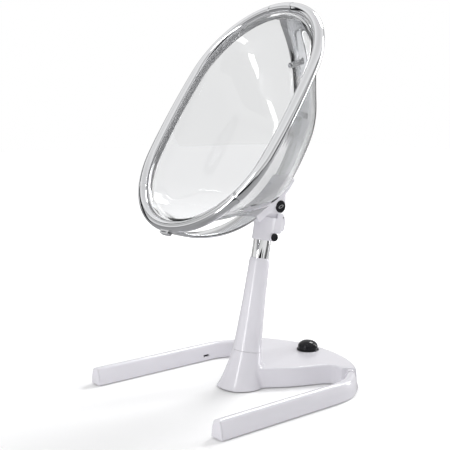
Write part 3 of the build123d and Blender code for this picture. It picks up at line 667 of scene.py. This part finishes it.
# ---------------------------------------------------------------- floor legs
LEG_SIDE_CENTRE = 0.2675         # middle of a leg, across
LEG_FRONT = -0.317
LEG_UNDERSIDE = 0.003
BEND_START = 0.085
BEND_CENTRE = 0.082
BEND_ANGLE = radians(43.2)
LEG_TOP = 0.018
LEG_BULGE = 0.0022               # how far the sides swell beyond a straight slant
SLOT = (0.062, 0.084, 0.011, 0.017)      # service slot in the left leg: front, rear, low, high; its floor and rim are painted black as the shade inside the slot


def section_ring(name, corners, place, turn):
    """Open ring whose corners are moved one by one to a section's (across, up) corners."""
    piece = ring_start(name, 0.01, len(corners))
    spots = [corner.co.copy() for corner in piece.data.vertices]
    for spot, (across, up) in zip(spots, corners):
        choose(piece, lambda c, at=spot: (c - at).length < 1e-6)
        bpy.ops.transform.translate(value=(across - spot.x + 1.0, up - spot.y, 0))
    bpy.ops.mesh.select_all(action="SELECT")
    bpy.ops.transform.translate(value=(-1.0, 0, 0))
    settle(piece, Matrix.Translation(place) @ turn)
    return piece


def leg_corners(sizes):
    """Arch section of a leg: foot, slanting sides with the slot's two heights, and top."""
    foot, top, high = sizes.leg_width / 2, LEG_TOP / 2, sizes.leg_height

    def side(up):
        rise = (up - 0.006) / (high - 0.006)
        return foot - 0.001 + (top - foot + 0.001) * rise + LEG_BULGE * sin(pi * rise)

    right = [(foot, 0), (foot - 0.001, 0.006)]
    right += [(side(up), up) for up in (SLOT[2], SLOT[3], 0.025, 0.031, 0.037)] + [(top, high)]
    return right + [(-x, z) for x, z in reversed(right)]


def leg_ring(name, y):
    """Arch ring across the right leg, with its top corners rounded."""
    sizes = bpy.context.scene.high_chair_sizes
    piece = section_ring(name, leg_corners(sizes), (LEG_SIDE_CENTRE, y, LEG_UNDERSIDE),
                         Matrix.Rotation(pi / 2, 4, "X"))
    choose(piece, lambda c: c.z > LEG_UNDERSIDE + sizes.leg_height - 1e-5)
    bpy.ops.mesh.bevel(offset=0.0078, segments=8, affect="VERTICES")
    bpy.ops.mesh.select_all(action="SELECT")
    return piece


class HIGHCHAIR_OT_legs(bpy.types.Operator):
    """Two arch-shaped floor legs with their bends and front caps"""

    bl_idname = "high_chair.legs"
    bl_label = "Floor legs"

    def execute(self, context):
        start = LEG_FRONT + 0.0048
        leg = leg_ring("floor_leg_right", start)
        at = start
        for stop in (SLOT[0], SLOT[1], BEND_START):
            step_on((0, stop - at, 0))
            at = stop
        sweep_round(BEND_ANGLE, (BEND_CENTRE, BEND_START, 0), (0, 0, 1), 18)
        close_skin(leg)
        other = twin(leg, "floor_leg_left")
        inner = -LEG_SIDE_CENTRE
        choose_faces(other, lambda c, n: n.x > 0.5 and SLOT[0] < c.y < SLOT[1]
                     and c.x > inner and SLOT[2] < c.z - LEG_UNDERSIDE < SLOT[3])
        bpy.ops.mesh.inset(thickness=0.0006)
        step_on((-0.004, 0, 0))
        bpy.ops.object.mode_set(mode="OBJECT")
        for piece, node in ((leg, "right_leg"), (other, "left_leg")):
            hand_over(piece, "base", FINISHES["white_plastic"], [node], 30)
        # painted shade: the slot's floor and rim take the black finish for the shade inside the slot
        other.data.materials.append(FINISHES["black_gloss"])
        for face in other.data.polygons:
            if SLOT[0] < face.center.y < SLOT[1] and SLOT[2] < face.center.z - LEG_UNDERSIDE < SLOT[3]:
                if face.center.x > inner and face.area < 0.00013 and abs(face.normal.x) > 0.5:
                    face.material_index = 1
        cap = leg_ring("leg_front_cap_right", LEG_FRONT + 0.004)
        step_on((0, -0.004, 0))
        close_skin(cap)
        choose(cap, lambda c: c.y < LEG_FRONT + 0.001)
        bpy.ops.mesh.bevel(offset=0.0025, segments=4, affect="EDGES")
        bpy.ops.object.mode_set(mode="OBJECT")
        close_skin(cap)
        other_cap = twin(cap, "leg_front_cap_left")
        for piece, node in ((cap, "right_leg_cap"), (other_cap, "left_leg_cap")):
            hand_over(piece, "base", FINISHES["white_plastic"], [node], 40)
        return {"FINISHED"}


# ---------------------------------------------------------------- pedal
PEDAL_PLACE = Matrix.Translation((0, 0.264, 0))
CUP = [(33.5, 56), (33.5, 58.2), (32.7, 59), (30.05, 59), (30.05, 47), (8.05, 47), (8.05, 44),
       (32.05, 44), (32.05, 56)]
DOME_RADIUS, DOME_FOOT, DOME_RISE = 29.7, 66, 19     # round top of the pedal, in millimetres


def arc_points(middle, radius, start, stop, count):
    """Points of a quarter round in an outline, in millimetres and degrees."""
    turn = [start + (stop - start) * i / count for i in range(count + 1)]
    return [(middle[0] + radius * cos(radians(a)), middle[1] + radius * sin(radians(a))) for a in turn]


class HIGHCHAIR_OT_pedal(bpy.types.Operator):
    """Black domed pedal and the flanged cup it sinks into"""

    bl_idname = "high_chair.pedal"
    bl_label = "Pedal"

    def execute(self, context):
        bezel = turned("pedal_cup", CUP + CUP[:1], 72, closed=True, place=PEDAL_PLACE)
        hand_over(bezel, "base", FINISHES["black_gloss"], ["pedal_bezel"], 30)
        outline = [(0.6, 73), (25.2, 73), (26.6, 71), (26.6, 54), (DOME_RADIUS, 54)]
        outline += [(DOME_RADIUS * x, DOME_FOOT + DOME_RISE * z)
                    for x, z in arc_points((0, 0), 1, 0, 86, 14)]
        outline += [(0.6, DOME_FOOT + DOME_RISE)]
        dome = turned("pedal_dome", outline, 72, place=PEDAL_PLACE)
        hand_over(dome, "pedal", FINISHES["black_gloss"], ["pedal_cap"], 40)
        return {"FINISHED"}


# ---------------------------------------------------------------- caps and button on the hub
PIVOT = (0.0154, 0.5143)                 # seat hinge across and along the column
BUTTON = (0.0130, 0.4265)
LEAF = [(2.6, 40.25), (4.4, 40.25), (4.4, 40.8), (2.6, 40.8)]
LEAF_STRETCH = 2.3
LEAF_TURN = radians(28)


def sideways(side, spot):
    """Place of a piece whose axis points out of the column's side."""
    return COLUMN @ Matrix.Translation((0, spot[0], spot[1])) @ Matrix.Rotation(side * pi / 2, 4, "Y")


class HIGHCHAIR_OT_caps(bpy.types.Operator):
    """Black pivot caps with a plain silver leaf, and the round side button"""

    bl_idname = "high_chair.caps"
    bl_label = "Pivot caps and button"

    def execute(self, context):
        outline = [(0.5, 34.0), (15.1, 34.0), (15.1, 37.02), (17.3, 37.02)]
        outline += arc_points((15.8, 39.5), 1.5, 0, 90, 5)
        outline += [(14.6, 40.9), (14.1, 40.3), (0.5, 40.3)]
        for side, word in ((1, "right"), (-1, "left")):
            cap = turned("pivot_disc_" + word, outline, 64, place=sideways(side, PIVOT))
            hand_over(cap, "seat", FINISHES["black_gloss"], ["pivot_cap_" + word], 30)
            leaf = turned("pivot_leaf_" + word, LEAF + LEAF[:1], 40, closed=True)
            leaf.matrix_world = Matrix.Diagonal((1.0, LEAF_STRETCH, 1.0, 1.0))
            settle(leaf, sideways(side, PIVOT) @ Matrix.Rotation(LEAF_TURN, 4, "Z"))
            hand_over(leaf, "seat", FINISHES["chrome"], [], 30)
        button = [(0.5, 31.0), (4.0, 31.0), (4.0, 32.6), (11.2, 32.6), (11.2, 33.4), (10.9, 33.4)]
        button += arc_points((9.3, 36.4), 1.6, 0, 90, 5) + [(8.2, 38.0), (6.0, 37.5), (0.5, 37.3)]
        push = turned("height_button", button, 48, place=sideways(1, BUTTON))
        hand_over(push, "side_button", FINISHES["black_gloss"], ["side_button"], 30)
        return {"FINISHED"}


# ---------------------------------------------------------------- CAD nodes that keep their mesh
class HIGHCHAIR_OT_finishes(bpy.types.Operator):
    """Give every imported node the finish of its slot"""

    bl_idname = "high_chair.finishes"
    bl_label = "Finishes of the packed parts"

    def execute(self, context):
        slots = node_slots()
        for name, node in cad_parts.items():
            node.data.materials.clear()
            node.data.materials.append(FINISHES[slots[name]])
        return {"FINISHED"}


def node_slots():
    """The record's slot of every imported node, read from its first material."""
    return {name: node.data.materials[0].name.split(".")[0] for name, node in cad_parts.items()}


# ---------------------------------------------------------------- stage
CAMERA_PLACE = Vector((1.7426, -1.5407, 0.7606))
CAMERA_HEADING = radians(49.704)
CAMERA_PITCH = radians(7.454)
CAMERA_LENS = 68.07
LAMP_AIM = (0, 0, 0.6)
# name, place, width, height, power
LAMPS = (("key_lamp", (-0.6, 2.6, 3.2), 1.2, 1.2, 70),
         ("side_strip", (0.8, 2.9, 1.3), 0.5, 2.6, 34),
         ("front_strip", (0.5, -2.9, 1.3), 0.45, 2.6, 30))
# name, place, point it faces, size
CARDS = (("dark_card_right", (2.4, 1.7, 1.0), LAMP_AIM, (0.5, 2.6)),
         ("dark_card_left", (-2.6, -0.9, 1.0), LAMP_AIM, (0.5, 2.6)),
         ("dark_card_rear", (-1.3, 2.6, 1.0), LAMP_AIM, (0.45, 2.6)),
         ("dark_card_front", (2.25, -2.35, 0.55), (0, 0, 0.5), (2.4, 1.1)),
         ("dark_card_low", (3.1, -0.6, 0.35), LAMP_AIM, (0.5, 0.9)))
CARD_COLOUR = (0.008, 0.008, 0.009, 1)
SOFT_AIR = 0.60                  # brightness of the air as soft light
NEAR_GLOW, FAR_GLOW = (0.35, 0.04), (2.2, 0.455)     # reach and glow of the floor


def area_light(name, place, width, height, power):
    """Soft rectangular lamp that looks at the seat."""
    data = bpy.data.lights.new(name, "AREA")
    data.shape = "RECTANGLE"
    data.size = width
    data.size_y = height
    data.energy = power
    lamp = bpy.data.objects.new(name, data)
    bpy.context.scene.collection.objects.link(lamp)
    lamp.location = place
    lamp.rotation_euler = (Vector(LAMP_AIM) - Vector(place)).to_track_quat("-Z", "Y").to_euler()


def card(name, place, target, size):
    """Flat dark studio card that only shows in reflections."""
    clear_bench()
    bpy.ops.mesh.primitive_plane_add(size=1)
    piece = bpy.context.object
    piece.name = piece.data.name = name
    piece.scale = (size[0], size[1], 1)
    piece.rotation_euler = (Vector(target) - Vector(place)).to_track_quat("-Z", "Y").to_euler()
    piece.location = place
    bpy.ops.object.transform_apply(location=True, rotation=True, scale=True)
    finish, shader = new_finish(name + " paint")
    shader.inputs["Base Color"].default_value = CARD_COLOUR
    shader.inputs["Roughness"].default_value = 1.0
    shader.inputs["Specular IOR Level"].default_value = 0.0
    piece.data.materials.append(finish)
    piece.visible_camera = False
    piece.visible_diffuse = False
    piece.visible_transmission = False
    piece.visible_shadow = False


# brightness of the reflected sky from straight down (0) to straight up (1)
SKY_BANDS = ((0.0, 0.25), (0.49, 0.12), (0.52, 0.85), (0.60, 0.80), (0.70, 0.42), (0.80, 0.95), (1.0, 0.70))


def light_air(world):
    """White air where it is seen directly, and dimmer air for soft light and for reflections."""
    world.use_nodes = True
    nodes, links = world.node_tree.nodes, world.node_tree.links
    nodes.clear()
    out = nodes.new("ShaderNodeOutputWorld")
    path = nodes.new("ShaderNodeLightPath")
    seen, soft, shine = [nodes.new("ShaderNodeBackground") for _ in range(3)]
    seen.inputs["Color"].default_value = (1, 1, 1, 1)
    seen.inputs["Strength"].default_value = 1.0
    soft.inputs["Color"].default_value = (1, 1, 1, 1)
    soft.inputs["Strength"].default_value = SOFT_AIR
    shine.inputs["Strength"].default_value = 1.0
    first, second = nodes.new("ShaderNodeMixShader"), nodes.new("ShaderNodeMixShader")
    from_sky, split = nodes.new("ShaderNodeNewGeometry"), nodes.new("ShaderNodeSeparateXYZ")
    height, ramp = nodes.new("ShaderNodeMapRange"), nodes.new("ShaderNodeValToRGB")
    height.inputs["From Min"].default_value = 1.0
    height.inputs["From Max"].default_value = -1.0
    stops = ramp.color_ramp.elements
    stops[0].position, stops[1].position = SKY_BANDS[0][0], SKY_BANDS[-1][0]
    for place, _ in SKY_BANDS[1:-1]:
        stops.new(place)
    for stop, (_, level) in zip(stops, SKY_BANDS):
        stop.color = (level, level, level, 1)
    links.new(from_sky.outputs["Incoming"], split.inputs[0])
    links.new(split.outputs["Z"], height.inputs["Value"])
    links.new(height.outputs["Result"], ramp.inputs["Fac"])
    links.new(ramp.outputs["Color"], shine.inputs["Color"])
    links.new(mirror_mask(world.node_tree), first.inputs[0])
    links.new(seen.outputs[0], first.inputs[1])
    links.new(shine.outputs[0], first.inputs[2])
    links.new(path.outputs["Is Diffuse Ray"], second.inputs[0])
    links.new(first.outputs[0], second.inputs[1])
    links.new(soft.outputs[0], second.inputs[2])
    links.new(second.outputs[0], out.inputs["Surface"])


def light_floor(tree, shader):
    """Pale floor, darker in reflections, that glows more the farther it lies from the chair."""
    mirror, tone = mirror_mask(tree), tree.nodes.new("ShaderNodeMix")
    tone.data_type = "RGBA"
    tone.inputs["A"].default_value = (0.93, 0.93, 0.935, 1)
    tone.inputs["B"].default_value = (0.34, 0.34, 0.345, 1)
    tree.links.new(mirror, tone.inputs["Factor"])
    tree.links.new(tone.outputs["Result"], shader.inputs["Base Color"])
    spot, reach = tree.nodes.new("ShaderNodeNewGeometry"), tree.nodes.new("ShaderNodeVectorMath")
    reach.operation = "LENGTH"
    glow, dim = tree.nodes.new("ShaderNodeMapRange"), tree.nodes.new("ShaderNodeMath")
    glow.inputs["From Min"].default_value, glow.inputs["To Min"].default_value = NEAR_GLOW
    glow.inputs["From Max"].default_value, glow.inputs["To Max"].default_value = FAR_GLOW
    dim.operation = "MULTIPLY"
    less = tree.nodes.new("ShaderNodeMath")
    less.operation = "SUBTRACT"
    less.inputs[0].default_value = 1.0
    tree.links.new(spot.outputs["Position"], reach.inputs[0])
    tree.links.new(reach.outputs["Value"], glow.inputs["Value"])
    tree.links.new(mirror, less.inputs[1])
    tree.links.new(glow.outputs["Result"], dim.inputs[0])
    tree.links.new(less.outputs[0], dim.inputs[1])
    tree.links.new(dim.outputs[0], shader.inputs["Emission Strength"])


class HIGHCHAIR_OT_stage(bpy.types.Operator):
    """Pale floor, soft lights, reflector cards and the camera"""

    bl_idname = "high_chair.stage"
    bl_label = "Studio"

    def execute(self, context):
        clear_bench()
        reach = context.scene.high_chair_sizes.floor_reach
        bpy.ops.mesh.primitive_plane_add(size=2 * reach, location=(0, 0, -0.0005))
        floor = context.object
        floor.name = "studio_floor"
        finish, shader = new_finish("Studio floor")
        shader.inputs["Emission Color"].default_value = (1, 1, 1, 1)
        light_floor(finish.node_tree, shader)
        shader.inputs["Roughness"].default_value = 0.9
        shader.inputs["Specular IOR Level"].default_value = 0.1
        floor.data.materials.append(finish)
        world = context.scene.world or bpy.data.worlds.new("Studio air")
        context.scene.world = world
        light_air(world)
        context.scene.view_settings.view_transform = "Standard"
        for lamp in LAMPS:
            area_light(*lamp)
        for sheet in CARDS:
            card(*sheet)
        data = bpy.data.cameras.new("studio_camera")
        data.lens = CAMERA_LENS
        data.sensor_width = 36.0
        camera = bpy.data.objects.new("studio_camera", data)
        context.scene.collection.objects.link(camera)
        look = Vector((-sin(CAMERA_HEADING) * cos(CAMERA_PITCH), cos(CAMERA_HEADING) * cos(CAMERA_PITCH),
                       -sin(CAMERA_PITCH)))
        camera.location = CAMERA_PLACE
        camera.rotation_euler = look.to_track_quat("-Z", "Y").to_euler()
        context.scene.camera = camera
        return {"FINISHED"}


# ---------------------------------------------------------------- panel and running order
ORDER = (HIGHCHAIR_OT_finishes, HIGHCHAIR_OT_hoop, HIGHCHAIR_OT_bands, HIGHCHAIR_OT_shell,
         HIGHCHAIR_OT_column, HIGHCHAIR_OT_legs, HIGHCHAIR_OT_pedal, HIGHCHAIR_OT_caps,
         HIGHCHAIR_OT_stage)


class HIGHCHAIR_PT_pieces(bpy.types.Panel):
    """Pieces of the high chair, in the order in which they are made"""

    bl_idname = "HIGHCHAIR_PT_pieces"
    bl_label = "High chair"
    bl_space_type = "VIEW_3D"
    bl_region_type = "UI"
    bl_category = "High chair"

    def draw(self, context):
        column = self.layout.column(align=True)
        for step in ORDER:
            column.operator(step.bl_idname)
        for group in (context.scene.high_chair_sizes, context.scene.high_chair_colours):
            box = self.layout.box()
            for key in group.__annotations__:
                box.prop(group, key)


CLASSES = (HighChairSizes, HighChairColours, *ORDER, HIGHCHAIR_PT_pieces)


def register():
    for item in CLASSES:
        bpy.utils.register_class(item)
    bpy.types.Scene.high_chair_sizes = bpy.props.PointerProperty(type=HighChairSizes)
    bpy.types.Scene.high_chair_colours = bpy.props.PointerProperty(type=HighChairColours)


def unregister():
    del bpy.types.Scene.high_chair_colours
    del bpy.types.Scene.high_chair_sizes
    for item in reversed(CLASSES):
        bpy.utils.unregister_class(item)


def main():
    """Make every piece in order."""
    register()
    FINISHES.update(make_finishes())
    for step in ORDER:
        group, name = step.bl_idname.split(".")
        getattr(getattr(bpy.ops, group), name)()


if __name__ == "__main__":
    main()
